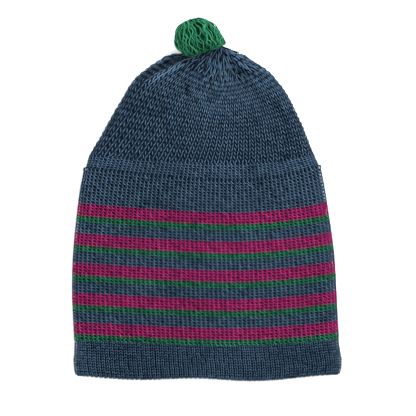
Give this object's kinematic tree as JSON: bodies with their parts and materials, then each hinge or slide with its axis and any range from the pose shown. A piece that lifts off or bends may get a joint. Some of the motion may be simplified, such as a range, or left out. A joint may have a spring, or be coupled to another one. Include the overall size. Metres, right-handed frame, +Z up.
{
  "type": "stretch beanie",
  "caption": "Knitted stretch beanie with a doubled, striped band, a gathered crown and a yarn pompom, lying flat on its back and open at the rim for a head.",
  "frame": {"origin": "below the middle of the bounding box, on the surface that the hat lies on", "axes": "+Y from the rim towards the pompom, +X across the hat, +Z up from the surface"},
  "size_m": [0.2008, 0.2686, 0.031],
  "materials": {
    "slate_blue": "matt knitted yarn",
    "magenta": "matt knitted yarn",
    "green": "matt knitted yarn",
    "pompom_green": "matt yarn loops"
  },
  "bodies": {
    "root": {"hem": "slate_blue", "green_stripe_5": "green", "magenta_stripe_5": "magenta", "blue_stripe_4": "slate_blue", "green_stripe_4": "green", "magenta_stripe_4": "magenta", "blue_stripe_3": "slate_blue", "green_stripe_3": "green", "magenta_stripe_3": "magenta", "blue_stripe_2": "slate_blue", "green_stripe_2": "green", "magenta_stripe_2": "magenta", "blue_stripe_1": "slate_blue", "green_stripe_1": "green", "magenta_stripe_1": "magenta", "band_top": "slate_blue", "crown": "slate_blue", "pompom": "pompom_green"}
  },
  "joints": []
}
